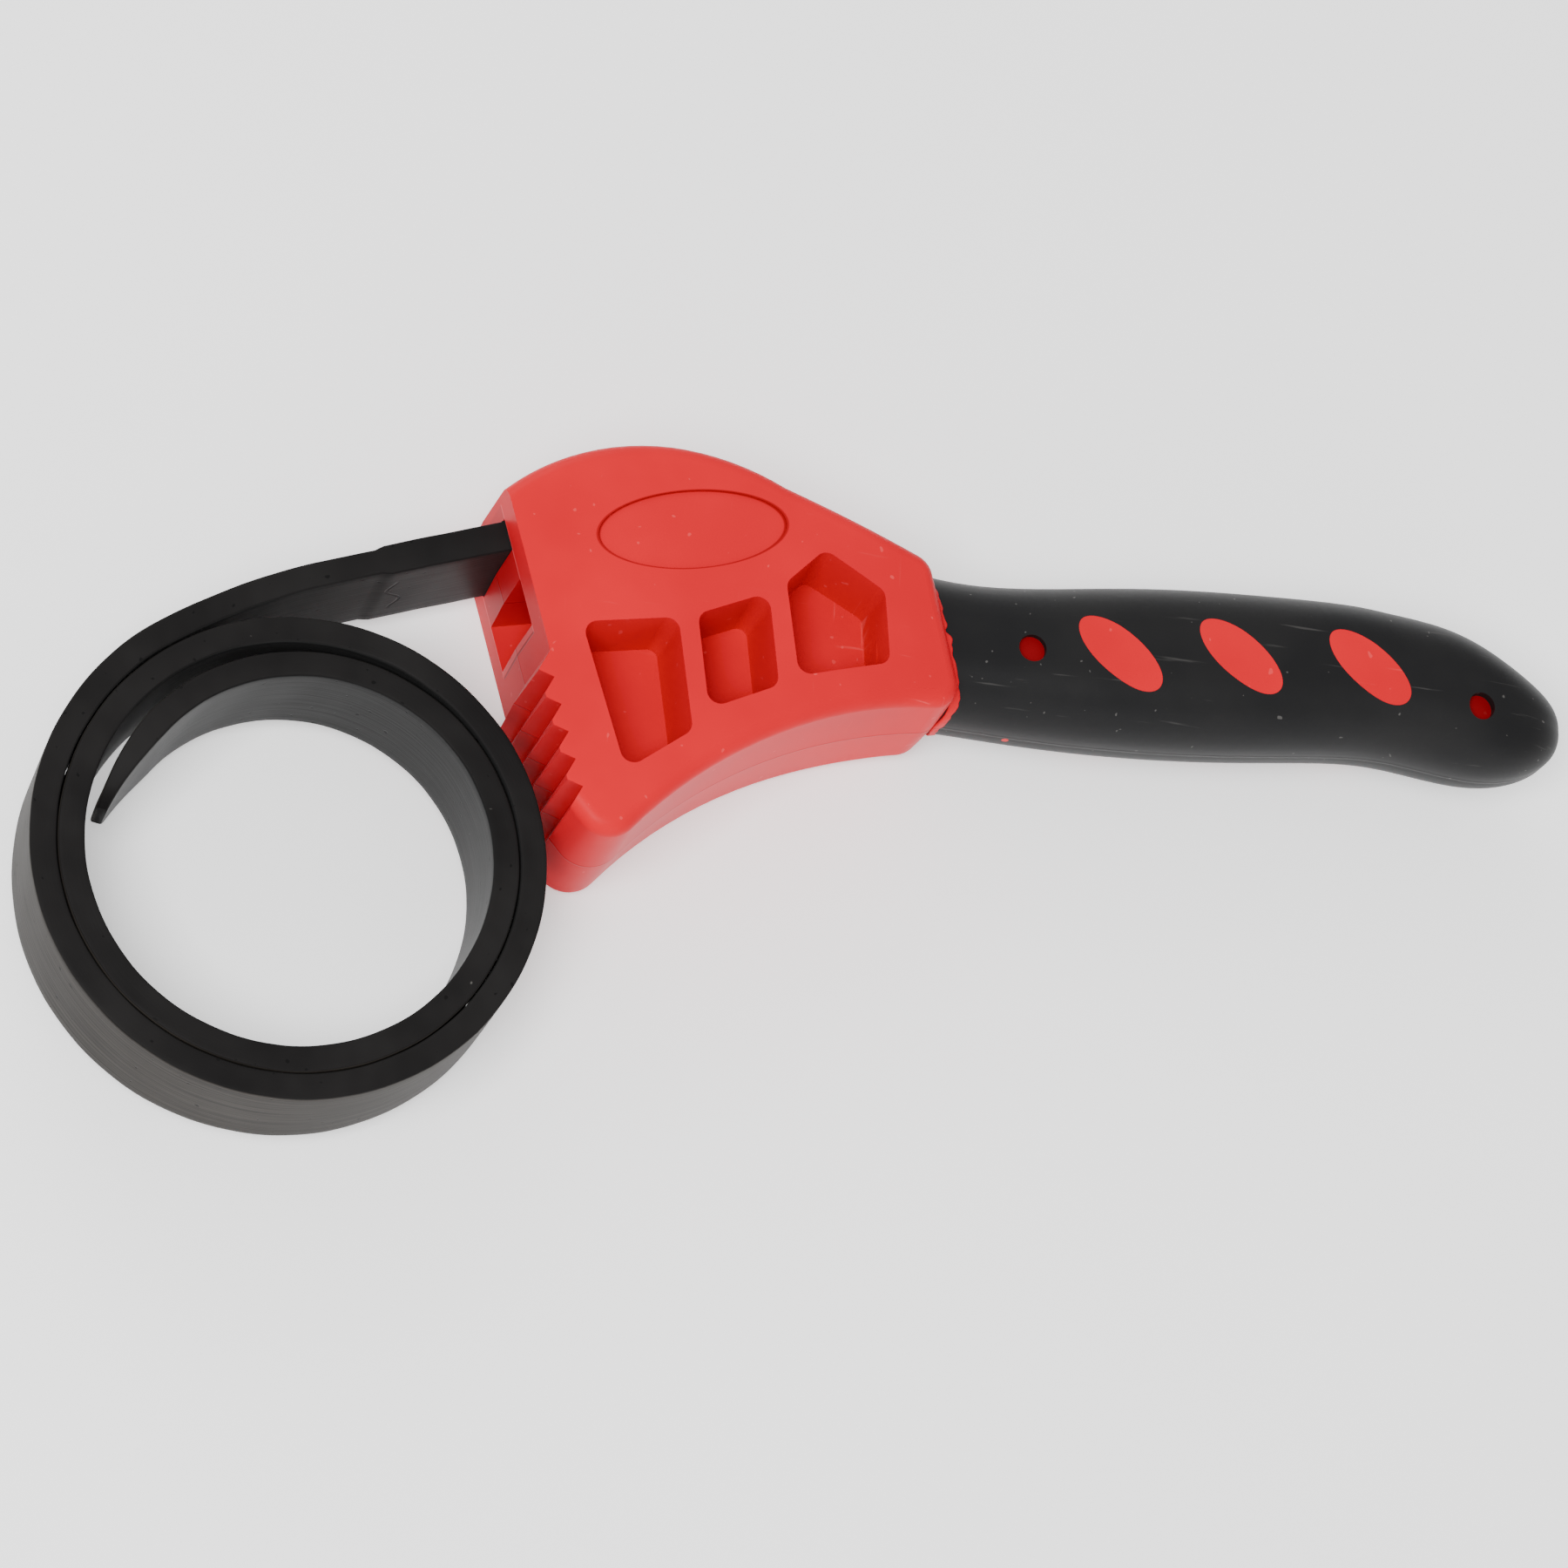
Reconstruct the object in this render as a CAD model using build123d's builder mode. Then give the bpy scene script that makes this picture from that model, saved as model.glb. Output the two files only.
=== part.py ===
from build123d import *
from math import atan2, cos, degrees, radians, sin, tan
import os

os.makedirs("parts", exist_ok=True)

# Oil filter strap wrench, lying flat on one side of its head.
# Frame: +Z up, Z = 0 is the flat side of the head that it rests on, the origin is on that flat side in the
# middle of the head, and +X runs along the handle. The strap is coiled at -X.

# ---- strap ----
strap_width = 25.0
strap_thickness = 5.0
strap_end_thickness = 6.0  # moulded end that goes into the head
strap_end_reach = 25.0  # how far the thick end stands out of the mouth
strap_side_clearance = 0.5  # above and below the strap inside the head
strap_face_clearance = 0.2  # on each flat face of the strap inside the mouth
bead_radius = 6.5  # round bead that stops the strap in the head
bead_depth = 16.0  # mouth plane to the bead's centre
bead_clearance = 0.3

# ---- strap's resting coil, along the middle of its thickness ----
coil_gap = 0.3  # air between two layers
lead_straight = 34.0
lead_bend = (131.0, 15.5)  # radius, turn in degrees
lead_curl_radius = 49.0
turn_radius_down = 46.6  # first quarter turn, left side to bottom
turn_radius_up = 46.0  # second quarter turn, bottom to the teeth
tail_tuck = 3.5  # how much tighter the last turn is than the turn outside it
tail_ease = 0.3  # how much the very end opens again
tail_end_turn = 80.0
tail_tip_width = 9.0
tail_tip_thickness = 2.0
tail_tip_way = (0.4, 1.0)  # slope of the tongue's edges at its tip
tail_links = 3  # links in each of the tail's two bends

# ---- head ----
shoulder_x = 46.7  # where the face between head and grip crosses the handle's middle line
head_length = 90.7  # that crossing to the top corner of the mouth
drawn_head_length = 90.7  # head length for which the spots along the head are given
head_wall = 6.5  # side walls of the mouth
mouth_corner_y = 17.2
front_lean = 16.7  # lean of the front face, degrees
front_face_length = 34.3  # mouth corner to the first tooth
draft = 1.5  # mould draft of the outer sides, degrees
edge_round = 3.0
shoulder_thickness = 29.0
shoulder_slope_length = 31.7
shoulder_lean = 15.0  # lean of the face where grip and head meet, degrees
shoulder_half_width = 15.0
shoulder_round = 5.0
strap_lean = 19.7  # direction of the strap as it leaves the mouth, degrees below -X
strap_mouth_drop = 7.9  # mouth corner to the middle of the strap, along the front face
crown_spot = (10.1, 7.6)  # spots along the head, from the mouth corner
crest_spot = (33.0, 13.8)
crest_radius = 53.0
back_slope = 26.2  # fall of the back towards the shoulder, degrees
belly_spot = (53.0, -45.5)
belly_run = 71.5  # mouth corner to the start of the hollow underside, along the front face
belly_inset = 8.5

# ---- teeth on the nose ----
tooth_count = 6
tooth_pitch = 5.57
tooth_height = 3.1
tooth_back = 2.23  # run of the short flank
gap_overcut = 0.4  # how far each gap's cut reaches past the crowns, as a share of the tooth height
nose_run = 2.6
nose_height = 1.9

# ---- slot that the tail passes through ----
slot_height = 9.5
slot_start = 22.0  # mouth corner to the slot's middle, along the front face
slot_lean = 12.5
slot_straight = 8.0
slot_bend_radius = 38.0
slot_bend = 52.5
slot_run_out = 24.0

# ---- pockets and badge, corners as spots along the head ----
pocket_depth = 16.0
pocket_draft = 2.0
pocket_round = 2.6
pockets = (
    ((16.3, -26.2), (35.2, -22.8), (38.8, -45.5), (26.0, -55.2)),
    ((39.0, -21.6), (53.0, -15.3), (55.5, -34.2), (41.8, -40.8)),
    ((56.4, -12.7), (64.0, -4.8), (76.6, -11.5), (78.0, -26.2), (59.4, -31.8)),
)
badge_length = 38.0
badge_width = 16.0
badge_depth = 0.5
badge_lean = 12.5
badge_spot = (37.5, -4.2)

# ---- grip ----
grip_length = 132.8
grip_thickness = 27.0
grip_skin = 2.0
grip_tuck = 5.0  # how far the grip reaches back round the head's corners
corner_share = 0.44  # corner radius of a section as a share of its smaller side
pin_hole_radius = 2.8
pin_hole_from_shoulder = 17.7
pin_hole_spacing = 94.6
pad_length = 20.5
pad_width = 9.6
pad_lean = -37.0
pad_places = ((35.8, 1.2), (60.9, 3.8), (88.3, 5.2))  # from the shoulder
# Cross-sections along the handle: distance from the shoulder, rise of the middle, width, thickness.
grip_stations = (
    (-13.7, 1.7, 34.0, grip_thickness),
    (10.3, 0.8, 29.8, grip_thickness - 1.0),
    (33.3, 2.0, 32.7, grip_thickness),
    (53.3, 3.6, 33.9, grip_thickness + 0.5),
    (73.3, 5.2, 32.9, grip_thickness + 0.5),
    (90.3, 6.1, 31.3, grip_thickness),
    (103.3, 5.0, 30.7, grip_thickness),
    (114.3, 2.9, 28.6, grip_thickness - 1.0),
    (124.3, 0.8, 21.5, grip_thickness - 5.0),
    (130.3, 0.2, 13.5, grip_thickness - 12.0),
    (132.8, 0.0, 5.0, grip_thickness - 20.0),
)

# ---- worked out from the sizes above ----
mouth_height = strap_width + 2 * strap_side_clearance
head_thickness = mouth_height + 2 * head_wall
mid_z = head_thickness / 2
strap_low = mid_z - strap_width / 2
window_low = mid_z - mouth_height / 2
coil_pitch = strap_thickness + coil_gap
front_down = Vector(sin(radians(front_lean)), -cos(radians(front_lean)))
front_out = Vector(-cos(radians(front_lean)), -sin(radians(front_lean)))
mouth_corner = Vector(shoulder_x - head_length, mouth_corner_y)
strap_out = Vector(-cos(radians(strap_lean)), -sin(radians(strap_lean)))
strap_in = strap_out * -1


def on_front(run, proud=0.0):
    """Point on the front face: run down from the mouth corner, proud of the face."""
    return mouth_corner + front_down * run + front_out * proud


def on_head(along, up):
    """Point of the head measured from the mouth corner, stretched with the head's length."""
    return mouth_corner + Vector(along * head_length / drawn_head_length, up)


# ================= strap path =================
strap_root = on_front(strap_mouth_drop)
turn_sum = turn_radius_down + turn_radius_up
radius_over = (turn_sum - coil_pitch + turn_radius_down - turn_radius_up) / 2
radius_under = turn_sum - coil_pitch - radius_over
tail_radius = turn_radius_up - coil_pitch - tail_tuck
quarter_radii = (
    turn_radius_down,
    turn_radius_up,
    radius_over,
    radius_under,
    turn_radius_down - coil_pitch,
    turn_radius_up - coil_pitch,
)
half_curl = (90 - strap_lean - lead_bend[1]) / 2

# stretches after the straight lead, (radius, turn): bends that can open, the coil, and the free end
opening_bends = [lead_bend, (lead_curl_radius, half_curl), (lead_curl_radius, half_curl)]
coil_turns = [(quarter_radius, 90) for quarter_radius in quarter_radii]
tail_bends = [(tail_radius, 90 / tail_links)] * tail_links
tail_bends += [(tail_radius + tail_ease, tail_end_turn / tail_links)] * tail_links


def heading_way(heading):
    """Unit vector in plan for a heading in degrees."""
    return Vector(cos(radians(heading)), sin(radians(heading)))


def walk(start, heading, length, radius, turn):
    """End point and heading after one stretch: straight if it has no turn, else a bend to the left."""
    if turn == 0:
        return start + heading_way(heading) * length, heading
    centre = start + heading_way(heading + 90) * radius
    return centre - heading_way(heading + 90 + turn) * radius, heading + turn


# links: name, start, heading, length, radius, turn
links = []
place, heading = strap_root, 180 + strap_lean
lead_lengths = (strap_end_reach, lead_straight - strap_end_reach)
for number, length in enumerate(lead_lengths, 1):
    links.append((f"strap_lead_{number}", place, heading, length, 0, 0))
    place, heading = walk(place, heading, length, 0, 0)
for group, bends in (("bend", opening_bends), ("turn", coil_turns), ("tail", tail_bends)):
    for number, (radius, turn) in enumerate(bends, 1):
        links.append((f"strap_{group}_{number}", place, heading, radius * radians(turn), radius, turn))
        place, heading = walk(place, heading, 0, radius, turn)


def band_outline(start, heading, length, radius, turn, thickness):
    """Plan outline of one stretch of band: two parallel lines, or two arcs about one centre."""
    side = heading_way(heading + 90)
    half = side * (thickness / 2)
    if turn == 0:
        way = heading_way(heading) * length
        Polyline(start + half, start + half + way, start - half + way, start - half, close=True)
        return
    centre = start + side * radius
    outer = CenterArc(centre, radius + thickness / 2, heading - 90, turn)
    inner = CenterArc(centre, radius - thickness / 2, heading - 90, turn)
    Line(outer @ 0, inner @ 0)
    Line(outer @ 1, inner @ 1)


for name, start, heading, length, radius, turn in links[:-1]:
    thickness = strap_end_thickness if name == "strap_lead_1" else strap_thickness
    with BuildPart() as link:
        with BuildSketch(Plane.XY.offset(strap_low)):
            with BuildLine():
                band_outline(start, heading, length, radius, turn, thickness)
            make_face()
        extrude(amount=strap_width)
    link.part.label = name
    export_step(link.part, f"parts/{name}.step")

# The free end: thins towards its tip and narrows to a rounded tongue.
name, start, heading, length, radius, turn = links[-1]
tip, tip_heading = walk(start, heading, 0, radius, turn)
way_in = heading_way(heading)
tail_side = heading_way(heading + 90)
tip_side = heading_way(tip_heading + 90)
outer_start = start - tail_side * (strap_thickness / 2)
inner_start = start + tail_side * (strap_thickness / 2)
outer_tip = tip - tip_side * (strap_thickness / 2)
inner_tip = outer_tip + tip_side * tail_tip_thickness
tongue_place = start + Vector(0, 0, mid_z)
tongue_plane = Plane(origin=tongue_place, x_dir=way_in, z_dir=tail_side)
tongue_reach = (tip - start).dot(way_in) + strap_thickness
edge_in, edge_up = tail_tip_way
with BuildPart() as strap_tail:
    with BuildSketch(Plane.XY.offset(strap_low)):
        with BuildLine():
            outer_edge = TangentArc(outer_start, outer_tip, tangent=way_in)
            inner_edge = TangentArc(inner_start, inner_tip, tangent=way_in)
            Line(outer_edge @ 0, inner_edge @ 0)
            Line(outer_edge @ 1, inner_edge @ 1)
        make_face()
    extrude(amount=strap_width)
    with BuildSketch(tongue_plane):
        with BuildLine():
            upper = Spline(
                (0, strap_width / 2),
                (tongue_reach, tail_tip_width / 2),
                tangents=((1, 0), (edge_in, -edge_up)),
            )
            lower = Spline(
                (0, -strap_width / 2),
                (tongue_reach, -tail_tip_width / 2),
                tangents=((1, 0), (edge_in, edge_up)),
            )
            Line(upper @ 0, lower @ 0)
            Line(upper @ 1, lower @ 1)
        make_face()
    extrude(amount=length + strap_thickness, both=True, mode=Mode.INTERSECT)
strap_tail.part.label = name
export_step(strap_tail.part, f"parts/{name}.step")

# The moulded end inside the head: a flat neck and a round bead.
bead_centre = strap_root + strap_in * bead_depth
with BuildPart() as strap_end:
    with BuildSketch(Plane.XY.offset(strap_low)):
        with BuildLine():
            band_outline(strap_root, strap_lean, bead_depth, 0, 0, strap_end_thickness)
        make_face()
        with Locations(bead_centre):
            Circle(bead_radius)
    extrude(amount=strap_width)
strap_end.part.label = "strap_end"
export_step(strap_end.part, "parts/strap_end.step")

# ================= head outline =================
tooth_line = front_face_length + tooth_pitch - tooth_back
last_tooth_run = tooth_line + (tooth_count - 1) * tooth_pitch
nose_tip = on_front(last_tooth_run + nose_run, nose_height)
crest = on_head(*crest_spot)
crown_end = crest + heading_way(90 - back_slope) * crest_radius - Vector(0, crest_radius)


def shoulder_point(y):
    """Point on the leaning face where the head meets the grip."""
    return Vector(shoulder_x - y * tan(radians(shoulder_lean)), y)


def head_outline():
    """Plan of the head at its parting line, teeth filled in, drawn anticlockwise from the mouth corner."""
    Polyline(
        mouth_corner,
        on_front(front_face_length),
        on_front(tooth_line, tooth_height),
        on_front(last_tooth_run, tooth_height),
        nose_tip,
    )
    belly_start = on_front(belly_run, -belly_inset)
    belly = ThreePointArc(belly_start, on_head(*belly_spot), shoulder_point(-shoulder_half_width))
    TangentArc(belly @ 0, nose_tip, tangent=(belly % 0) * -1)
    Line(shoulder_point(-shoulder_half_width), shoulder_point(shoulder_half_width))
    Line(shoulder_point(shoulder_half_width), crown_end)
    TangentArc(crest, crown_end, tangent=(1, 0))
    ThreePointArc(crest, on_head(*crown_spot), mouth_corner)


# ================= grip and the core inside it =================
station_scale = grip_length / grip_stations[-1][0]


def handle_solid(inset):
    """The handle's lofted body, all its sides moved in by the inset."""
    with BuildPart() as body:
        for distance, rise, width, thickness in grip_stations:
            if inset > 0 and thickness < 3 * inset + grip_thickness / 10:
                continue
            place = (shoulder_x + distance * station_scale, rise, mid_z)
            wide, tall = width - 2 * inset, thickness - 2 * inset
            with BuildSketch(Plane(origin=place, x_dir=(0, 1, 0), z_dir=(1, 0, 0))):
                RectangleRounded(wide, tall, min(wide, tall) * corner_share)
        loft()
    return body.part


shoulder_plane = Plane(
    origin=(shoulder_x, 0, 0),
    x_dir=heading_way(shoulder_lean + 90),
    z_dir=heading_way(shoulder_lean),
)
handle_outer = handle_solid(0)
handle_core = handle_solid(grip_skin)

# red pads of the core that reach through to both faces of the grip
with BuildPart() as pads:
    for pad_along, pad_y in pad_places:
        with BuildSketch(Plane.XY):
            with Locations(Location((shoulder_x + pad_along * station_scale, pad_y, 0), (0, 0, pad_lean))):
                Ellipse(pad_length / 2, pad_width / 2)
        extrude(amount=head_thickness)
    add(handle_outer, mode=Mode.INTERSECT)

# ================= head and core =================
slope_x = shoulder_x - shoulder_slope_length
shoulder_top = mid_z + shoulder_thickness / 2


def is_shoulder_corner(edge):
    """Upright corners of the head where it meets the grip."""
    at_shoulder = edge.center().X > shoulder_x - shoulder_round
    at_side = abs(edge.center().Y) > shoulder_half_width * 0.9
    upright = abs((edge @ 1 - edge @ 0).Z) > shoulder_thickness / 3
    return at_shoulder and at_side and upright


def is_rim(edge):
    """Outer edges of the flat side, except along the front and the line where the slope begins."""
    high = edge.center().Z > shoulder_top - edge_round
    behind_front = (edge.center() - mouth_corner).dot(front_out) < -tooth_height - 1
    slope_line = abs(edge.center().X - slope_x) + abs(edge.center().Y) < edge_round
    short = edge.length < 2 * shoulder_half_width + shoulder_slope_length
    return high and behind_front and short and not slope_line


with BuildPart() as upper_half:
    with BuildSketch(Plane.XY.offset(mid_z)):
        with BuildLine():
            head_outline()
        make_face()
    extrude(amount=mid_z, taper=draft)
    # the flat side slopes down to the shoulder
    with BuildSketch(Plane.XZ):
        with BuildLine():
            slope_end = (shoulder_x + shoulder_round, shoulder_top)
            slope = TangentArc((slope_x, head_thickness), slope_end, tangent=(1, 0))
            Polyline(
                slope @ 0,
                (-2 * head_length, head_thickness),
                (-2 * head_length, 0),
                (slope_end[0], 0),
                slope @ 1,
            )
        make_face()
    extrude(amount=3 * head_length, both=True, mode=Mode.INTERSECT)
    fillet(upper_half.edges().filter_by(is_shoulder_corner), shoulder_round)
    fillet(upper_half.edges().filter_by(is_rim), edge_round)
    for corners in pockets:
        with BuildSketch(Plane.XY.offset(head_thickness)):
            with BuildLine():
                FilletPolyline(*[on_head(*corner) for corner in corners], radius=pocket_round, close=True)
            make_face()
        extrude(amount=-pocket_depth, taper=pocket_draft, mode=Mode.SUBTRACT)
    with BuildSketch(Plane.XY.offset(head_thickness - badge_depth)):
        with Locations(Location(on_head(*badge_spot), (0, 0, badge_lean))):
            Ellipse(badge_length / 2, badge_width / 2)
    extrude(amount=badge_depth, mode=Mode.SUBTRACT)

with BuildPart() as body_core:
    add(upper_half.part)
    mirror(about=Plane.XY.offset(mid_z))
    add(handle_core)
    add(pads.part)
    # tooth gaps
    for tooth in range(tooth_count - 1):
        crown_run = tooth_line + tooth * tooth_pitch
        with BuildSketch(Plane.XY):
            with BuildLine():
                Polyline(
                    on_front(crown_run - tooth_back * gap_overcut, tooth_height * (1 + gap_overcut)),
                    on_front(crown_run + tooth_back, 0),
                    on_front(
                        crown_run + tooth_pitch + (tooth_pitch - tooth_back) * gap_overcut,
                        tooth_height * (1 + gap_overcut),
                    ),
                    close=True,
                )
            make_face()
        extrude(amount=head_thickness, mode=Mode.SUBTRACT)
    # mouth channel and the seat of the strap's bead, open to the back of the head
    with BuildSketch(Plane.XY.offset(window_low)):
        with BuildLine():
            channel = strap_end_thickness + 2 * strap_face_clearance
            channel_mouth = strap_root + strap_out * head_wall
            band_outline(channel_mouth, strap_lean, bead_depth + head_wall, 0, 0, channel)
        make_face()
        with Locations(bead_centre):
            Circle(bead_radius + bead_clearance)
        with BuildLine():
            seat_width = 2 * (bead_radius + bead_clearance)
            band_outline(bead_centre, strap_lean + 90, head_length, 0, 0, seat_width)
        make_face()
    extrude(amount=mouth_height, mode=Mode.SUBTRACT)
    # slot for the free end, from the mouth out through the back
    with BuildSketch(Plane.XY.offset(window_low)):
        place, heading = on_front(slot_start) - heading_way(slot_lean) * head_wall, slot_lean
        for length, radius, turn in (
            (slot_straight + head_wall, 0, 0),
            (0, slot_bend_radius, slot_bend),
            (slot_run_out, 0, 0),
        ):
            with BuildLine():
                band_outline(place, heading, length, radius, turn, slot_height)
            make_face()
            place, heading = walk(place, heading, length, radius, turn)
    extrude(amount=mouth_height, mode=Mode.SUBTRACT)
body_core.part.label = "body_core"
export_step(body_core.part, "parts/body_core.step")

with BuildPart() as grip:
    add(handle_outer)
    split(bisect_by=shoulder_plane.offset(-grip_tuck), keep=Keep.TOP)
    add(body_core.part, mode=Mode.SUBTRACT)
    # blind holes where the mould held the core
    for pin_along in (pin_hole_from_shoulder, pin_hole_from_shoulder + pin_hole_spacing):
        with BuildSketch(Plane.XY):
            with Locations((shoulder_x + pin_along * station_scale, 0)):
                Circle(pin_hole_radius)
        extrude(amount=head_thickness, mode=Mode.SUBTRACT)
grip.part.label = "grip"
export_step(grip.part, "parts/grip.step")
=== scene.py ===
from math import cos, pi, radians, sin, tan

import bpy
import numpy as np
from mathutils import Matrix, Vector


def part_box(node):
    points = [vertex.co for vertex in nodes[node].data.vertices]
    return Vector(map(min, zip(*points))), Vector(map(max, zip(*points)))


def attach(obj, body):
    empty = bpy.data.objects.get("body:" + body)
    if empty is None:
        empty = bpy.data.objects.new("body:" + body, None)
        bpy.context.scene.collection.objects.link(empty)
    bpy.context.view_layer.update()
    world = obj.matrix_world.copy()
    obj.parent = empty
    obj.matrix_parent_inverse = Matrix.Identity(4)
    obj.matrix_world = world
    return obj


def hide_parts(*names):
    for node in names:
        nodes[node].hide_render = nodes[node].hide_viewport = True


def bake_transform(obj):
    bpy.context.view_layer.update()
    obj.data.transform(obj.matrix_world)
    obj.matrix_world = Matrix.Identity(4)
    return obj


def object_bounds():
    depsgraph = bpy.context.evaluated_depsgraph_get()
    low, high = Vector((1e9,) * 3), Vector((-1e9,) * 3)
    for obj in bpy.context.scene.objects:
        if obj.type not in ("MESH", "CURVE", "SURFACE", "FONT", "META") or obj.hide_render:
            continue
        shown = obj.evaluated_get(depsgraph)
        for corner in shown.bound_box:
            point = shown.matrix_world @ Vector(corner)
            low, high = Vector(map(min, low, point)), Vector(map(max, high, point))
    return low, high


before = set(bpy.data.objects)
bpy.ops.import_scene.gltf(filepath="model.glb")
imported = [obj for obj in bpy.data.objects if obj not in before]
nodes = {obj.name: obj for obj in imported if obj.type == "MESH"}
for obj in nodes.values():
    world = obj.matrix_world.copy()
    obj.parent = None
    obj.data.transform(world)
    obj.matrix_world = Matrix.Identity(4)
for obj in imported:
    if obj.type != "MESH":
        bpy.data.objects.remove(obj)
cad_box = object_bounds()
MM = 0.001
MID_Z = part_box("body_core")[1][2] / 2

# ---- camera, floor and light ----
CAMERA_SPOT = (-0.23056, -0.38987, 0.95854)
CAMERA_TURN = (0.348122, -0.268489, 0.027034)
CAMERA_LENS = 122.33
SENSOR_WIDTH = 36.0
CLIP_END = 20.0
FLOOR_HALF = 3.0
FLOOR_DROP = 0.0002
FLOOR_GLOW = 0.45
WORLD_STRENGTH = 0.75
# name, place, point it faces, edge length and power
LIGHTS = (
    ("key_box", (-0.55, -0.55, 1.45), (0.0, -0.02, 0.0), 0.7, 34.0),
    ("back_box", (-0.5, 1.5, 0.85), (0.0, 0.0, 0.0), 1.0, 12.0),
    ("front_box", (0.6, -1.5, 0.55), (0.05, 0.0, 0.0), 0.9, 5.0),
)


def add_camera():
    """The studio camera, looking down on the tool from the strap's side."""
    lens = bpy.data.cameras.new("studio_camera")
    lens.sensor_width = SENSOR_WIDTH
    lens.lens = CAMERA_LENS
    lens.clip_end = CLIP_END
    camera = bpy.data.objects.new("studio_camera", lens)
    camera.location = CAMERA_SPOT
    camera.rotation_euler = CAMERA_TURN
    bpy.context.scene.collection.objects.link(camera)
    bpy.context.scene.camera = camera


def add_light(name, spot, aim, size, watts):
    """A square soft box at spot, facing the point aim."""
    light = bpy.data.lights.new(name, "AREA")
    light.size = size
    light.energy = watts
    box = bpy.data.objects.new(name, light)
    box.location = spot
    way = np.subtract(aim, spot)
    flat = float(np.hypot(way[0], way[1]))
    tilt = float(np.arctan2(flat, -way[2]))
    turn = float(np.arctan2(way[1], way[0])) - pi / 2
    box.rotation_euler = (tilt, 0.0, turn)
    bpy.context.scene.collection.objects.link(box)


class Paint:
    """A shader socket that Python arithmetic works on: each operator adds one Math node."""

    def __init__(self, tree, socket=None):
        self.tree = tree
        self.socket = socket

    def node(self, kind, settings=None, inputs=None, output=0):
        """Any other node: its settings first, then a value or a link for each named socket."""
        made = self.tree.nodes.new(kind)
        for key, value in (settings or {}).items():
            setattr(made, key, value)
        for key, value in (inputs or {}).items():
            if isinstance(value, Paint):
                self.tree.links.new(value.socket, made.inputs[key])
            else:
                made.inputs[key].default_value = value
        return Paint(self.tree, made.outputs[output])

    def math(self, operation, *others):
        """One Math node whose first value is this socket."""
        return self.node("ShaderNodeMath", {"operation": operation}, dict(enumerate((self, *others))))

    def __add__(self, other):
        return self.math("ADD", other)

    def __sub__(self, other):
        return self.math("SUBTRACT", other)

    def __rsub__(self, other):
        return self * -1.0 + other

    def __mul__(self, other):
        return self.math("MULTIPLY", other)

    def __truediv__(self, other):
        return self.math("DIVIDE", other)

    def __abs__(self):
        return self.math("ABSOLUTE")

    __radd__ = __add__
    __rmul__ = __mul__

    def between(self, low, high):
        """0 below low, 1 above high and smooth in between; low may be the larger one."""
        return self.node(
            "ShaderNodeMapRange",
            {"interpolation_type": "SMOOTHSTEP"},
            {"Value": self, "From Min": low, "From Max": high},
        )

    def split(self, axis):
        """One of the three numbers of a vector."""
        return self.node("ShaderNodeSeparateXYZ", {}, {"Vector": self}, axis)

    def noise(self, scale, stretch=(1, 1, 1), detail=2.0, turn=0.0, shift=(0, 0, 0)):
        """Noise from 0 to 1 on a vector that is shifted, turned about Z and stretched."""
        moved = self.node(
            "ShaderNodeMapping",
            {},
            {"Vector": self, "Location": shift, "Rotation": (0, 0, turn), "Scale": stretch},
        )
        return self.node("ShaderNodeTexNoise", {}, {"Vector": moved, "Scale": scale, "Detail": detail})

    def mix(self, below, above):
        """The colour below where this is 0 and the colour above where it is 1."""
        return self.node("ShaderNodeMix", {"data_type": "RGBA"}, {0: self, 6: below, 7: above}, 2)


def rgb(red, green, blue):
    return (red, green, blue, 1.0)


def new_material(name):
    """An empty material with a Principled shader: the material, its Paint and the shader."""
    material = bpy.data.materials.new(name)
    material.use_nodes = True
    tree = material.node_tree
    return material, Paint(tree), tree.nodes["Principled BSDF"]


def connect(paint, shader, **inputs):
    """Links or sets the shader's sockets; an underscore in a name stands for a space."""
    for key, value in inputs.items():
        socket = shader.inputs[key.replace("_", " ")]
        if isinstance(value, Paint):
            paint.tree.links.new(value.socket, socket)
        else:
            socket.default_value = value


# ---- places that the materials mark, in metres ----
# the oval badge on each side of the head: middle, half sizes and lean
BADGE_SPOT = (-0.0065, 0.0130)
BADGE_HALF = (0.019, 0.008)
BADGE_LEAN = radians(12.5)
# the grip's round holes lie at PIN_MIDDLE plus or minus PIN_SPREAD along the handle
PIN_MIDDLE = 0.1117
PIN_SPREAD = 0.0473
# the mouth's front face: its top corner, the way down along it, the window's half height and the lip's place
MOUTH_CORNER = (-0.0440, 0.0172)
FRONT_DOWN = (0.28736, -0.95782)
WINDOW_HALF = 0.0130
LIP_DOWN = 0.0282
# a speck of the red core that shows through the grip's front side
SPECK_SPOT = (0.0634, -0.0147, 0.0182)
SPECK_HALF = (0.0007, 0.0008)


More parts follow.
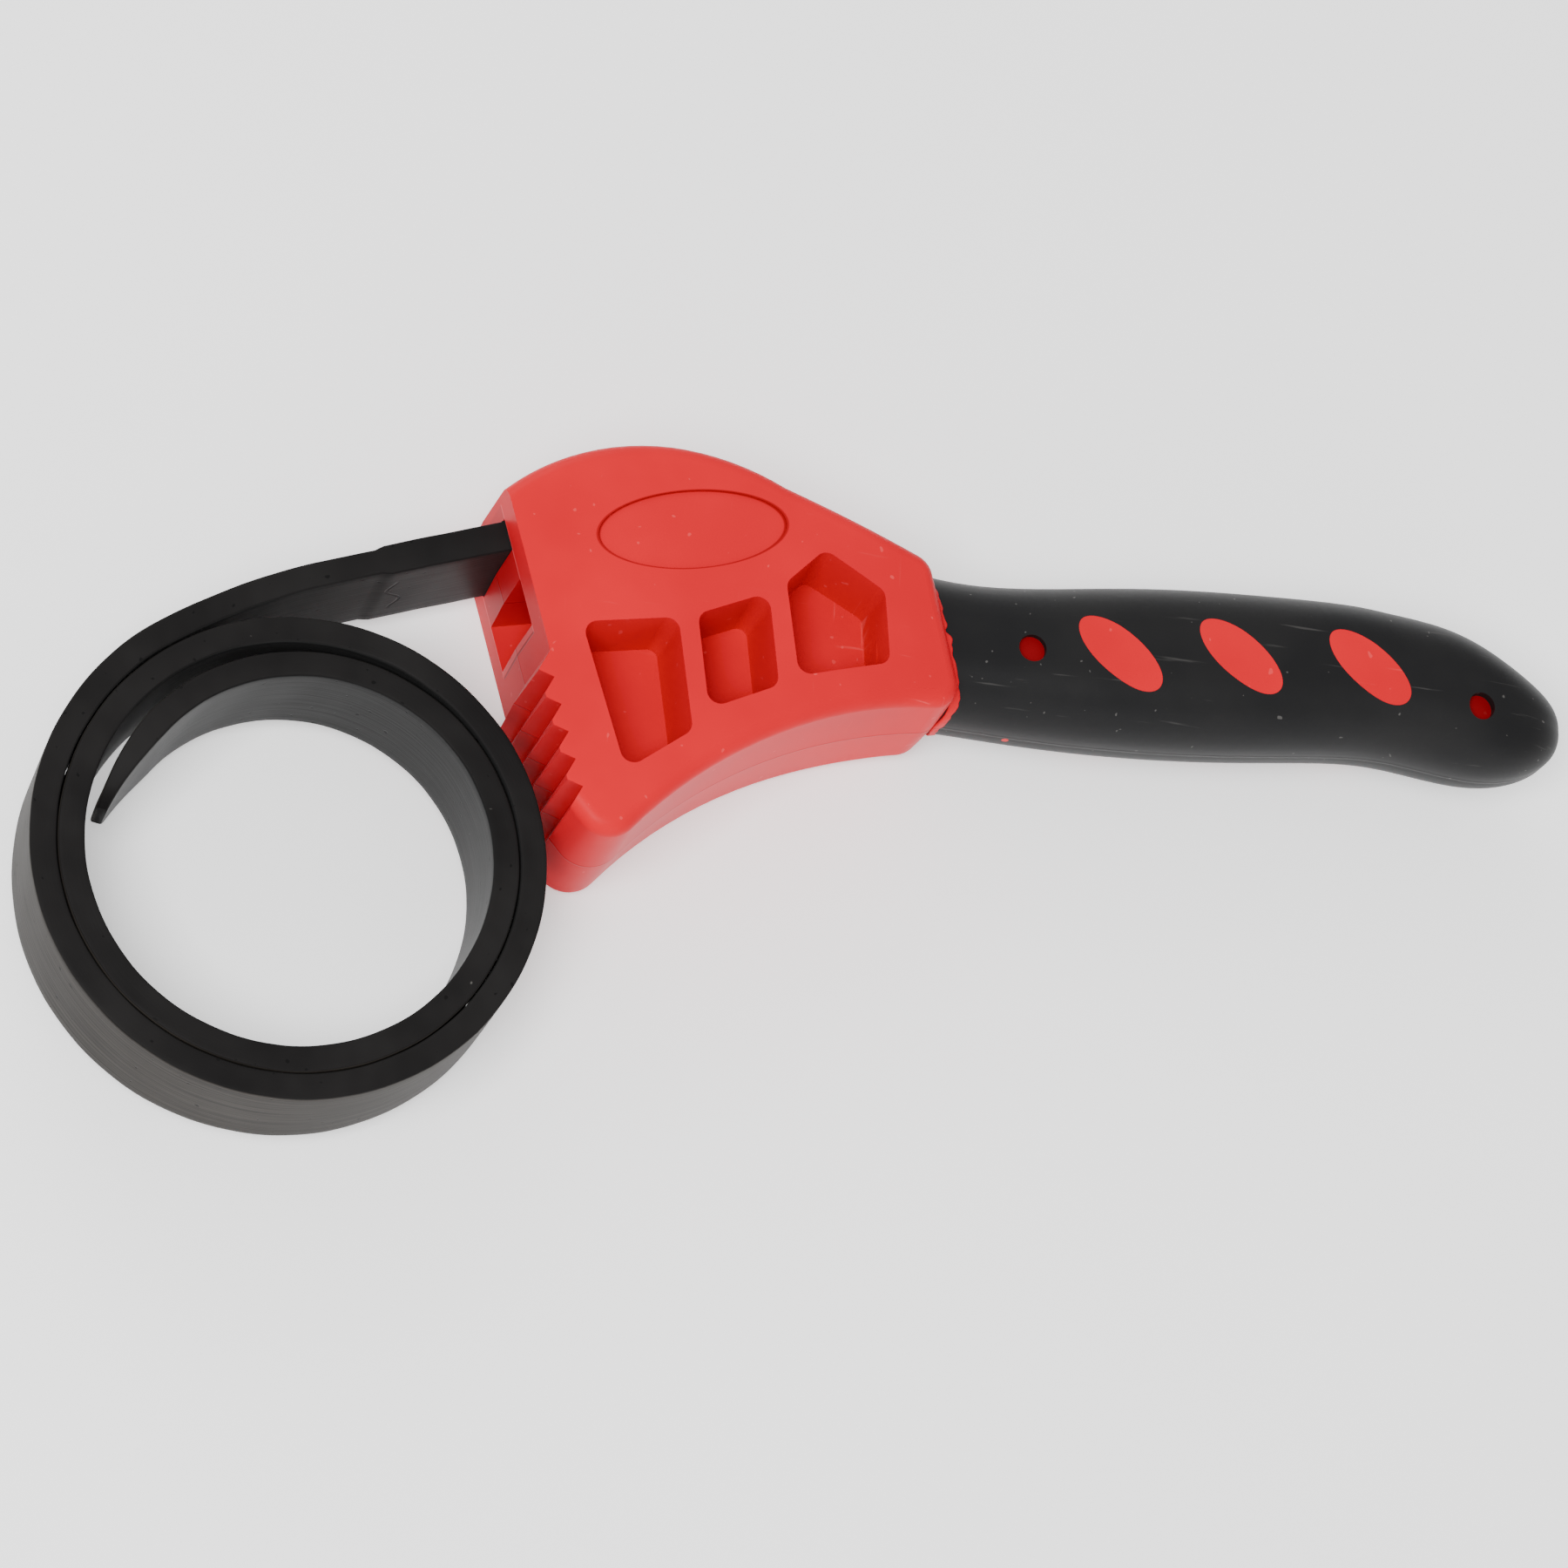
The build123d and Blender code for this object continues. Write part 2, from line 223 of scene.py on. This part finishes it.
# ---- materials ----
def red_plastic():
    """Satin red moulding: clouding, orange peel, rubs, parting line, painted shade in the badge's outline
    groove and in the pin holes, and painted highlights and shade at the mouth.
    """
    material, paint, shader = new_material("red_moulded_plastic")
    spot = paint.node("ShaderNodeTexCoord", output=3)
    facing = paint.node("ShaderNodeNewGeometry", output=1)
    upright = 1 - abs(facing.split(2)).between(0.3, 0.7)
    height = spot.split(2)
    cloud = spot.noise(38.0, detail=3.0)
    peel = spot.noise(1500.0, detail=1.0)
    grain = spot.noise(5200.0, detail=2.0)
    rubs = spot.noise(26.0, (2.2, 30.0, 1.0), 4.0, 0.5).between(0.66, 0.74)
    scores = spot.noise(30.0, (30.0, 1.6, 1.0), 3.0, -0.35, (0.3, 0.1, 0)).between(0.69, 0.75)
    marks = (rubs + scores) * spot.noise(24.0, shift=(2.0, 0.7, 0)).between(0.52, 0.68)
    specks = spot.noise(620.0, detail=0.0).between(0.81, 0.84)
    seam = abs(height - MID_Z).between(0.00045, 0.00012) * upright
    body = cloud.between(0.3, 0.7).mix(rgb(0.53, 0.0042, 0.0125), rgb(0.60, 0.0052, 0.0145))
    worn = (marks * 0.35 + specks * 0.3).mix(body, rgb(0.80, 0.10, 0.10))
    place_x = spot.split(0) - BADGE_SPOT[0]
    place_y = spot.split(1) - BADGE_SPOT[1]
    way_x, way_y = cos(BADGE_LEAN), sin(BADGE_LEAN)
    long_way = (place_x * way_x + place_y * way_y) / BADGE_HALF[0]
    short_way = (place_y * way_x - place_x * way_y) / BADGE_HALF[1]
    oval = (long_way * long_way + short_way * short_way).math("SQRT")
    # painted shade: a dark line round the badge stands in for the shade in its outline groove
    badge_groove_shade = abs(oval - 1.0).between(0.034, 0.012)
    badge_groove_shaded = (badge_groove_shade * 0.85).mix(worn, rgb(0.25, 0.0012, 0.003))
    # painted shade: the red core is darkened inside the grip's round pin holes
    pin_run = abs(spot.split(0) - PIN_MIDDLE) - PIN_SPREAD
    pin_far = (pin_run * pin_run + spot.split(1) * spot.split(1)).math("SQRT")
    pin_hole_shade = pin_far.between(0.0031, 0.0027)
    shaded = (pin_hole_shade * 0.85).mix(badge_groove_shaded, rgb(0.11, 0.0012, 0.003))
    # the mouth's frame: painted highlights on the window's edges and on the lip below the slot, painted shade
    # over the flush panel in place of a recess, and a painted shadow line under the lip's step
    from_corner_x = spot.split(0) - MOUTH_CORNER[0]
    from_corner_y = spot.split(1) - MOUTH_CORNER[1]
    down = from_corner_x * FRONT_DOWN[0] + from_corner_y * FRONT_DOWN[1]
    front = (facing.split(0) * FRONT_DOWN[1] - facing.split(1) * FRONT_DOWN[0]).between(0.9, 0.97)
    in_window = down.between(0.0015, 0.0022) * down.between(LIP_DOWN + 0.0001, LIP_DOWN)
    aside = abs(height - MID_Z)
    # painted highlight along the window's upper and lower edges
    frame_edge_highlight = abs(aside - WINDOW_HALF).between(0.0003, 0.0001) * in_window * front
    in_height = aside.between(WINDOW_HALF, WINDOW_HALF - 0.0002)
    panel = in_height * in_window * front
    # painted shadow: a dark line under the lip's step
    lip_shadow_line = abs(down - LIP_DOWN).between(0.0003, 0.00012) * in_height * front
    # painted highlight: the lit strip of the lip below the slot
    lip_highlight = down.between(LIP_DOWN - 0.0020, LIP_DOWN - 0.0018) * panel
    # painted shade over the window's flush panel, standing in for a recess
    panel_shade = (panel * 0.35).mix(shaded, rgb(0.30, 0.002, 0.006))
    lip_and_frame_highlit = (lip_highlight * 0.4 + frame_edge_highlight * 0.7).mix(panel_shade, rgb(0.80, 0.09, 0.10))
    colour = (seam * 0.3 + lip_shadow_line * 0.8).mix(lip_and_frame_highlit, rgb(0.20, 0.0015, 0.003))
    relief = peel * 0.35 + grain * 0.25 + seam * 6.0 - marks * 0.6 - lip_shadow_line * 8.0 + frame_edge_highlight * 4.0
    bump = paint.node("ShaderNodeBump", {}, {"Strength": 0.22, "Distance": 0.00005, "Height": relief})
    rough = 0.36 + cloud * 0.08 + marks * 0.15
    connect(paint, shader, Base_Color=colour, Roughness=rough, Normal=bump, Specular_IOR_Level=0.06)
    return material


def grip_rubber():
    """Soft satin black moulding with fine grain, faint scuffs, dust specks and a rough seam at mid height."""
    material, paint, shader = new_material("black_soft_grip")
    spot = paint.node("ShaderNodeTexCoord", output=3)
    facing = paint.node("ShaderNodeNewGeometry", output=1)
    upright = 1 - abs(facing.split(2)).between(0.5, 0.85)
    cloud = spot.noise(45.0, detail=3.0)
    grain = spot.noise(3600.0, detail=2.0)
    ragged = spot.noise(420.0, detail=2.0)
    scuffs = spot.noise(40.0, (1.0, 22.0, 3.0), 4.0, 0.12).between(0.66, 0.74)
    dust = spot.noise(900.0, detail=0.0).between(0.83, 0.86)
    seam = abs(spot.split(2) - MID_Z - (ragged - 0.5) * 0.0006).between(0.0005, 0.00015) * upright
    body = cloud.between(0.3, 0.7).mix(rgb(0.0055, 0.0055, 0.0060), rgb(0.0085, 0.0083, 0.0085))
    colour = (scuffs * 0.25 + dust * 0.5 + seam * 0.12).mix(body, rgb(0.11, 0.105, 0.10))
    spot_x = (spot.split(0) - SPECK_SPOT[0]) / SPECK_HALF[0]
    spot_z = (spot.split(2) - SPECK_SPOT[2]) / SPECK_HALF[1]
    speck = (spot_x * spot_x + spot_z * spot_z).between(1.3, 0.6) * spot.split(1).between(0.0, -0.002)
    colour = speck.mix(colour, rgb(0.62, 0.01, 0.014))
    relief = grain * 0.4 + seam * (2.0 + ragged * 5.0) + cloud * 0.6
    bump = paint.node("ShaderNodeBump", {}, {"Strength": 0.3, "Distance": 0.00006, "Height": relief})
    rough = 0.43 + cloud * 0.1 + scuffs * 0.12
    connect(paint, shader, Base_Color=colour, Roughness=rough, Normal=bump, Specular_IOR_Level=0.17)
    return material


def strap_rubber():
    """Black reinforced rubber: matte cut edges, a brownish streaked outer face lightened partly by painted
    light, a smoother inner face lightened partly by painted sheen, and painted shade in its pits and crack.

    The UV map holds the run along the strap and the place across its face in metres, and the attribute
    face is 1 on the outer face, -1 on the inner one and 0 on the cut edges.
    """
    material, paint, shader = new_material("black_strap_rubber")
    lay = paint.node("ShaderNodeUVMap", {"uv_map": "lay"})
    side = paint.node("ShaderNodeAttribute", {"attribute_name": "face"}, output=2)
    outer = side.between(0.2, 0.8)
    inner = side.between(-0.2, -0.8)
    along = lay.split(0)
    across = lay.split(1)
    streaks = lay.noise(60.0, (0.5, 26.0, 1.0), 4.0)
    fine = lay.noise(420.0, (0.3, 5.0, 1.0), 3.0)
    cloud = lay.noise(36.0, detail=3.0)
    grain = lay.noise(2600.0, detail=2.0)
    shaded_pits = lay.noise(560.0, detail=0.0).between(0.79, 0.83)
    fluff = lay.noise(350.0, shift=(0.5, 0.2, 0), detail=1.0).between(0.80, 0.84)
    crack_line = abs(along - 0.0215 - across * 0.22 - (across * 620.0).math("SINE") * 0.0012)
    shaded_crack = crack_line.between(0.0005, 0.00015) * inner * abs(across).between(0.008, 0.005)
    # partly the rubber's own tones, partly painted light: the outer face is lightened as if lit from the
    # front and the inner face by a painted sheen; the cut edges keep the rubber's own dark tone
    edge_tone = cloud.between(0.3, 0.7).mix(rgb(0.0065, 0.0060, 0.0060), rgb(0.0115, 0.0108, 0.0106))
    outer_tone_and_light = streaks.between(0.3, 0.72).mix(rgb(0.014, 0.0122, 0.0105), rgb(0.036, 0.0315, 0.0275))
    inner_tone_and_sheen = streaks.between(0.3, 0.7).mix(rgb(0.010, 0.010, 0.010), rgb(0.019, 0.019, 0.019))
    colour = inner.mix(outer.mix(edge_tone, outer_tone_and_light), inner_tone_and_sheen)
    colour = (fluff * 0.35).mix(colour, rgb(0.25, 0.24, 0.22))
    # painted shade: the pits and the crack are darkened to near-black
    colour = (shaded_pits * 0.8 + shaded_crack).mix(colour, rgb(0.003, 0.003, 0.003))
    relief = grain * 0.3 + streaks * 0.9 + fine * 0.5 - shaded_pits * 2.5 - shaded_crack * 6.0
    bump = paint.node("ShaderNodeBump", {}, {"Strength": 0.35, "Distance": 0.00008, "Height": relief})
    rough = 0.56 - outer * 0.10 - inner * 0.16 + cloud * 0.1
    connect(paint, shader, Base_Color=colour, Roughness=rough, Normal=bump, Specular_IOR_Level=0.06)
    return material


def paint_floor():
    """Plain pale floor with the faintest unevenness."""
    material, paint, shader = new_material("pale_floor")
    spot = paint.node("ShaderNodeTexCoord", output=3)
    tone = spot.noise(3.0).mix(rgb(0.93, 0.93, 0.93), rgb(0.95, 0.95, 0.95))
    connect(paint, shader, Base_Color=tone, Roughness=0.8, Emission_Color=tone, Emission_Strength=FLOOR_GLOW)
    return material


def add_mesh(name, points, faces, material):
    """A mesh object from an array of points and a list or array of faces."""
    mesh = bpy.data.meshes.new(name)
    mesh.from_pydata(points.tolist(), [], [tuple(map(int, face)) for face in faces])
    mesh.materials.append(material)
    mesh.polygons.foreach_set("use_smooth", np.ones(len(mesh.polygons), bool))
    mesh.update()
    piece = bpy.data.objects.new(name, mesh)
    bpy.context.scene.collection.objects.link(piece)
    return piece


# ---- the strap's middle line ----
# Lengths in millimetres. BENDS, TURNS and TAILS hold (radius, turn in degrees), from the head to the tongue.
# STRETCHES holds (length, radius, turn in degrees); radius 0 is straight.
STRAP_ROOT = (-41.7299, 9.6332)
STRAP_HEADING = 199.7
STRAP_WIDTH = 25.0
STRAP_THICKNESS = 5.0
END_THICKNESS = 6.0
END_REACH = 25.0
ROUNDING = 0.45
TAIL_TIP_THICKNESS = 2.0
TAIL_NARROWING = 11.0
RING_SPACING = 0.9
END_STEP = 0.05
HEAD_OVERLAP = 9.0
COIL_MARGIN = 12.0
TAIL_REACH = 6.0
BEND_SHARE = 0.8
BENDS = [(131.0, 15.5), (49.0, 27.4), (49.0, 27.4)]
TURNS = [(46.6, 90), (46.0, 90), (43.95, 90), (43.35, 90), (41.3, 90), (40.7, 90)]
TAILS = [(37.2, 30)] * 3 + [(37.5, 80 / 3)] * 3
STRETCHES = [(25.0, 0.0, 0.0), (9.0, 0.0, 0.0)]
STRETCHES += [(radius * radians(turn), radius, turn) for radius, turn in BENDS + TURNS + TAILS]
LENGTHS = np.array([stretch[0] for stretch in STRETCHES])
RADII = np.array([stretch[1] for stretch in STRETCHES])
TURNED = np.cumsum([stretch[2] for stretch in STRETCHES])[:-1]
HEADINGS = np.radians(STRAP_HEADING + np.concatenate([[0.0], TURNED]))
STARTS = np.concatenate([[0.0], np.cumsum(LENGTHS)])
STRAP_END = float(STARTS[-1])
TAIL_START = float(STARTS[-2])
WALL_STEPS = 15
EDGE_STEPS = 7
CORNER_STEPS = 4


def advance(place, heading, radius, length):
    """Where a stretch leads: straight on, or round the centre that lies one radius to the left."""
    bent = radius > 0
    turn = np.where(bent, length / np.where(bent, radius, 1.0), 0.0)
    arc_x = radius * (np.sin(heading + turn) - np.sin(heading))
    arc_y = radius * (np.cos(heading) - np.cos(heading + turn))
    step_x = np.where(bent, arc_x, length * np.cos(heading))
    step_y = np.where(bent, arc_y, length * np.sin(heading))
    return place + np.stack([step_x, step_y], -1), heading + turn


PLACES = [np.array(STRAP_ROOT)]
for number in range(len(STRETCHES) - 1):
    PLACES.append(advance(PLACES[-1], HEADINGS[number], RADII[number], LENGTHS[number])[0])
PLACES = np.array(PLACES)


def strap_line(run):
    """Place and heading of the strap's middle line at each run from the mouth, in millimetres."""
    index = np.clip(np.searchsorted(STARTS, run, side="right") - 1, 0, len(LENGTHS) - 1)
    return advance(PLACES[index], HEADINGS[index], RADII[index], run - STARTS[index])


def band_profile():
    """Rounded rectangle as four numbers per point: shares of the half sizes, and the corner's direction.

    Walls and edges are divided evenly, and each corner is a quarter circle of CORNER_STEPS steps.
    """
    rows = []
    wall = np.linspace(-1, 1, WALL_STEPS)[1:-1]
    edge = np.linspace(1, -1, EDGE_STEPS)[1:-1]
    for corner, (side, lift) in enumerate(((1, 1), (-1, 1), (-1, -1), (1, -1))):
        if corner == 0:
            rows += [(1, step, 1, 0) for step in wall]
        for part in range(CORNER_STEPS + 1):
            angle = pi / 2 * corner + pi / (2 * CORNER_STEPS) * part
            rows.append((side, lift, cos(angle), sin(angle)))
        if corner == 0:
            rows += [(step, 1, 0, 1) for step in edge]
        elif corner == 1:
            rows += [(-1, -step, -1, 0) for step in wall]
        elif corner == 2:
            rows += [(-step, -1, 0, -1) for step in edge]
    return np.array(rows, float)


PROFILE = band_profile()


def strap_sizes(run):
    """Thickness, width and sideways offset at each run: thick end, plain band and thinned tongue."""
    ease = np.clip((run - END_REACH) / 0.9 + 0.5, 0, 1)
    thick = END_THICKNESS + (STRAP_THICKNESS - END_THICKNESS) * ease * ease * (3 - 2 * ease)
    tongue = np.clip((run - TAIL_START) / (STRAP_END - TAIL_START), 0, 1)
    thinned = thick - (STRAP_THICKNESS - TAIL_TIP_THICKNESS) * tongue**1.6
    taper = np.clip((run - TAIL_START + 2.0) / (STRAP_END - TAIL_START + 2.0), 0, 1)
    round_end = np.sqrt(np.clip(1 - np.clip((taper - 0.86) / 0.15, 0, 1) ** 2, 0.02, 1))
    width = (STRAP_WIDTH - TAIL_NARROWING * taper**2.3) * (0.35 + 0.65 * round_end)
    return thinned, width, (thinned - thick) / 2


def strap_piece(name, first, last, material):
    """A length of strap between two runs: the profile carried along the middle line, closed at both ends.

    Each cap has points of its own, so its flat face doesn't shade into the walls.
    """
    rings = max(4, int((last - first) / RING_SPACING))
    inside = np.linspace(first + END_STEP, last - END_STEP, rings - 2)
    run = np.concatenate([[first], inside, [last]])[:, None]
    place, heading = strap_line(run[:, 0])
    thick, width, offset = strap_sizes(run)
    rounding = np.minimum(ROUNDING, thick * 0.3)
    wave = 0.05 * np.sin(run * 0.21 + 1.3) + 0.035 * np.sin(run * 0.53 + PROFILE[:, 1] * 2.1)
    nick = 0.05 * np.sin(run * 0.37 + PROFILE[:, 0] * 1.7) + 0.03 * np.sin(run * 1.31 + PROFILE[:, 0])
    inward = -(PROFILE[:, 0] * (thick / 2 - rounding) + PROFILE[:, 2] * rounding) + offset + wave * 0.6
    lift = PROFILE[:, 1] * (width / 2 - rounding) + PROFILE[:, 3] * rounding + nick * PROFILE[:, 3]
    x = place[:, :1] - np.sin(heading)[:, None] * inward
    y = place[:, 1:] + np.cos(heading)[:, None] * inward
    points = np.stack([x, y, lift + MID_Z / MM], -1).reshape(-1, 3) * MM
    count = len(PROFILE)
    ring, step = np.meshgrid(np.arange(rings - 1), np.arange(count), indexing="ij")
    here, beside = ring * count + step, ring * count + (step + 1) % count
    quads = np.stack([here, here + count, beside + count, beside], -1).reshape(-1, 4).tolist()
    top = rings * count
    points = np.concatenate([points, points[:count], points[-count:]])
    caps = [list(range(top, top + count)), list(range(top + count, top + 2 * count))[::-1]]
    piece = add_mesh(name, points, quads + caps, material)
    mesh = piece.data
    sideways = np.abs(PROFILE[:, 2])
    across = np.where(sideways > 0.7, PROFILE[:, 1] * STRAP_WIDTH / 2, PROFILE[:, 0] * STRAP_THICKNESS / 2)
    lay = np.stack(np.broadcast_arrays(run * MM, across[None] * MM), -1).reshape(-1, 2)
    lay = np.concatenate([lay, lay[:count], lay[-count:]])
    corners = np.empty(len(mesh.loops), int)
    mesh.loops.foreach_get("vertex_index", corners)
    mesh.uv_layers.new(name="lay").data.foreach_set("uv", lay[corners].ravel())
    face = np.sign(np.round(PROFILE[:, 2], 1)) * (sideways > 0.75)
    face = np.broadcast_to(face, (rings + 2, count)).astype(np.float32)
    mesh.attributes.new("face", "FLOAT", "POINT").data.foreach_set("value", face.ravel())
    return piece


def run_point(run):
    """A point of the middle line in metres, at the strap's mid height."""
    place, _ = strap_line(np.array([run]))
    return (float(place[0, 0]) * MM, float(place[0, 1]) * MM, MID_Z)


def build_strap(material):
    """The strap in lengths that meet in the middle of each link, each spanning one joint.

    The coil is long and rigid: a length of its own fills it, up to COIL_MARGIN from the joint at each end.
    """
    chain = ["head", "lead", "bend_1", "bend_2", "bend_3", "coil"] + [f"tail_{n}" for n in range(1, 7)]
    joints = [0.0] + [float(STARTS[n]) for n in (2, 3, 4, 5)] + [float(STARTS[n]) for n in range(11, 17)]
    links = [
        ["strap_end"],
        ["strap_lead_1", "strap_lead_2"],
        ["strap_bend_1"],
        ["strap_bend_2"],
        ["strap_bend_3"],
        [f"strap_turn_{n}" for n in range(1, 7)],
    ] + [[f"strap_tail_{n}"] for n in range(1, 7)]
    for number, joint in enumerate(joints):
        body, next_body = chain[number], chain[number + 1]
        if number == 0:
            first = -HEAD_OVERLAP
        elif body == "coil":
            first = joint - COIL_MARGIN
        else:
            first = (joints[number - 1] + joint) / 2
        if number + 1 == len(joints):
            last = STRAP_END
            room = TAIL_REACH
        else:
            last = joint + COIL_MARGIN if next_body == "coil" else (joint + joints[number + 1]) / 2
            room = last - joint
        piece = strap_piece(f"strap_over_{next_body}", first, last, material)
        reach = BEND_SHARE * min(joint - first, room)
        run_point(joint - reach)
        run_point(joint + reach)
        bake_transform(piece)
        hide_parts(*links[number + 1] if next_body != "coil" else ())
    coil = strap_piece("strap_coil", joints[4] + COIL_MARGIN, joints[5] - COIL_MARGIN, material)
    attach(coil, "coil")
    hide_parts(*links[5])


# ---- moulding flash round the shoulder, in millimetres ----
SHOULDER_X = 46.7
SHOULDER_LEAN = radians(15.0)
SHOULDER_FLAT = 10.0
SHOULDER_ROUND = 5.0
COLLAR_STEPS = 300
COLLAR_SINK = 0.2
COLLAR_INSIDE = 0.6
COLLAR_CLEAR = 0.8
RAY_START = 0.05
GRIP_FALLBACK = 12.0


def collar_reach(angle):
    """How far the flash runs out on the grip at each angle round the handle: ragged, with notches."""
    waves = 0.30 * np.sin(3 * angle + 0.8) + 0.22 * np.sin(8 * angle + 2.1) + 0.14 * np.sin(13 * angle + 0.4)
    frays = 0.08 * np.sin(29 * angle + 1.0) + 0.05 * np.sin(47 * angle + 2.0 * np.sin(5 * angle))
    notch = 1.0 * np.exp(-(((angle - 1.47) / 0.05) ** 2)) + 0.6 * np.exp(-(((angle + 0.55) / 0.09) ** 2))
    return np.clip(1.15 + waves + frays - notch, 0.3, 2.0)


def shoulder_face(y):
    """Where the head's leaning end face stands at each y, its upright corners rounded."""
    over = min(max(abs(y) - SHOULDER_FLAT, 0.0), SHOULDER_ROUND - 0.05)
    return SHOULDER_X - y * tan(SHOULDER_LEAN) - SHOULDER_ROUND + (SHOULDER_ROUND**2 - over**2) ** 0.5


def grip_radius(x, angle):
    """Distance from the handle's middle line to the grip's surface, found by a ray from outside."""
    way = np.array((0.0, cos(angle), sin(angle)))
    start = np.array((x * MM, 0.0, MID_Z)) + way * RAY_START
    hit, spot, _, _ = nodes["grip"].ray_cast(start.tolist(), (-way).tolist())
    return float(np.hypot(spot[1], spot[2] - MID_Z)) / MM if hit else GRIP_FALLBACK


def build_collar(material):
    """Thin ragged skin of red plastic squeezed out between the head and the grip.

    Rings round the handle start just inside the head's leaning face, run out on the grip's surface by the
    reach at each angle and come back just under that surface; the skin thins towards its edge.
    """
    angles = np.linspace(-pi, pi, COLLAR_STEPS, endpoint=False)
    reach = collar_reach(angles)
    shares = [0.0, 0.3, 0.6, 0.85, 1.0, 1.0, 0.5, 0.0]
    lifts = [0.50, 0.42, 0.30, 0.22, 0.08, -COLLAR_SINK, -COLLAR_SINK, -COLLAR_SINK]
    grid = np.empty((COLLAR_STEPS, len(shares), 3))
    for number, angle in enumerate(angles):
        side = grip_radius(SHOULDER_X, angle) * cos(angle)
        face_x = shoulder_face(side) - COLLAR_INSIDE
        for step, (share, lift) in enumerate(zip(shares, lifts)):
            x = face_x + share * (reach[number] + COLLAR_INSIDE)
            ripple = 0.08 * sin(9 * angle + 3 * share) * share
            radius = grip_radius(max(x, face_x + COLLAR_CLEAR), angle) + lift + ripple
            grid[number, step] = (x * MM, radius * cos(angle) * MM, radius * sin(angle) * MM + MID_Z)
    count = len(shares)
    ring, step = np.meshgrid(np.arange(COLLAR_STEPS), np.arange(count), indexing="ij")
    after, beside = (ring + 1) % COLLAR_STEPS, (step + 1) % count
    quads = np.stack(
        [ring * count + step, ring * count + beside, after * count + beside, after * count + step], -1
    )
    collar = add_mesh("shoulder_flash", grid.reshape(-1, 3), quads.reshape(-1, 4), material)
    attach(collar, "head")


# ---- build ----
add_camera()
floor_corners = np.array([(-1, -1, 0), (1, -1, 0), (1, 1, 0), (-1, 1, 0)]) * FLOOR_HALF
floor_corners = floor_corners + (0, 0, cad_box[0][2] - FLOOR_DROP)
floor = add_mesh("floor", floor_corners, [(0, 1, 2, 3)], paint_floor())
for light in LIGHTS:
    add_light(*light)
world = bpy.data.worlds.new("studio")
world.use_nodes = True
background = world.node_tree.nodes["Background"]
background.inputs["Color"].default_value = rgb(1.0, 1.0, 1.0)
background.inputs["Strength"].default_value = WORLD_STRENGTH
bpy.context.scene.world = world

red = red_plastic()
black = grip_rubber()
strap = strap_rubber()
for name, material in (("body_core", red), ("grip", black), ("strap_end", strap)):
    nodes[name].data.materials.clear()
    nodes[name].data.materials.append(material)
build_strap(strap)
build_collar(red)
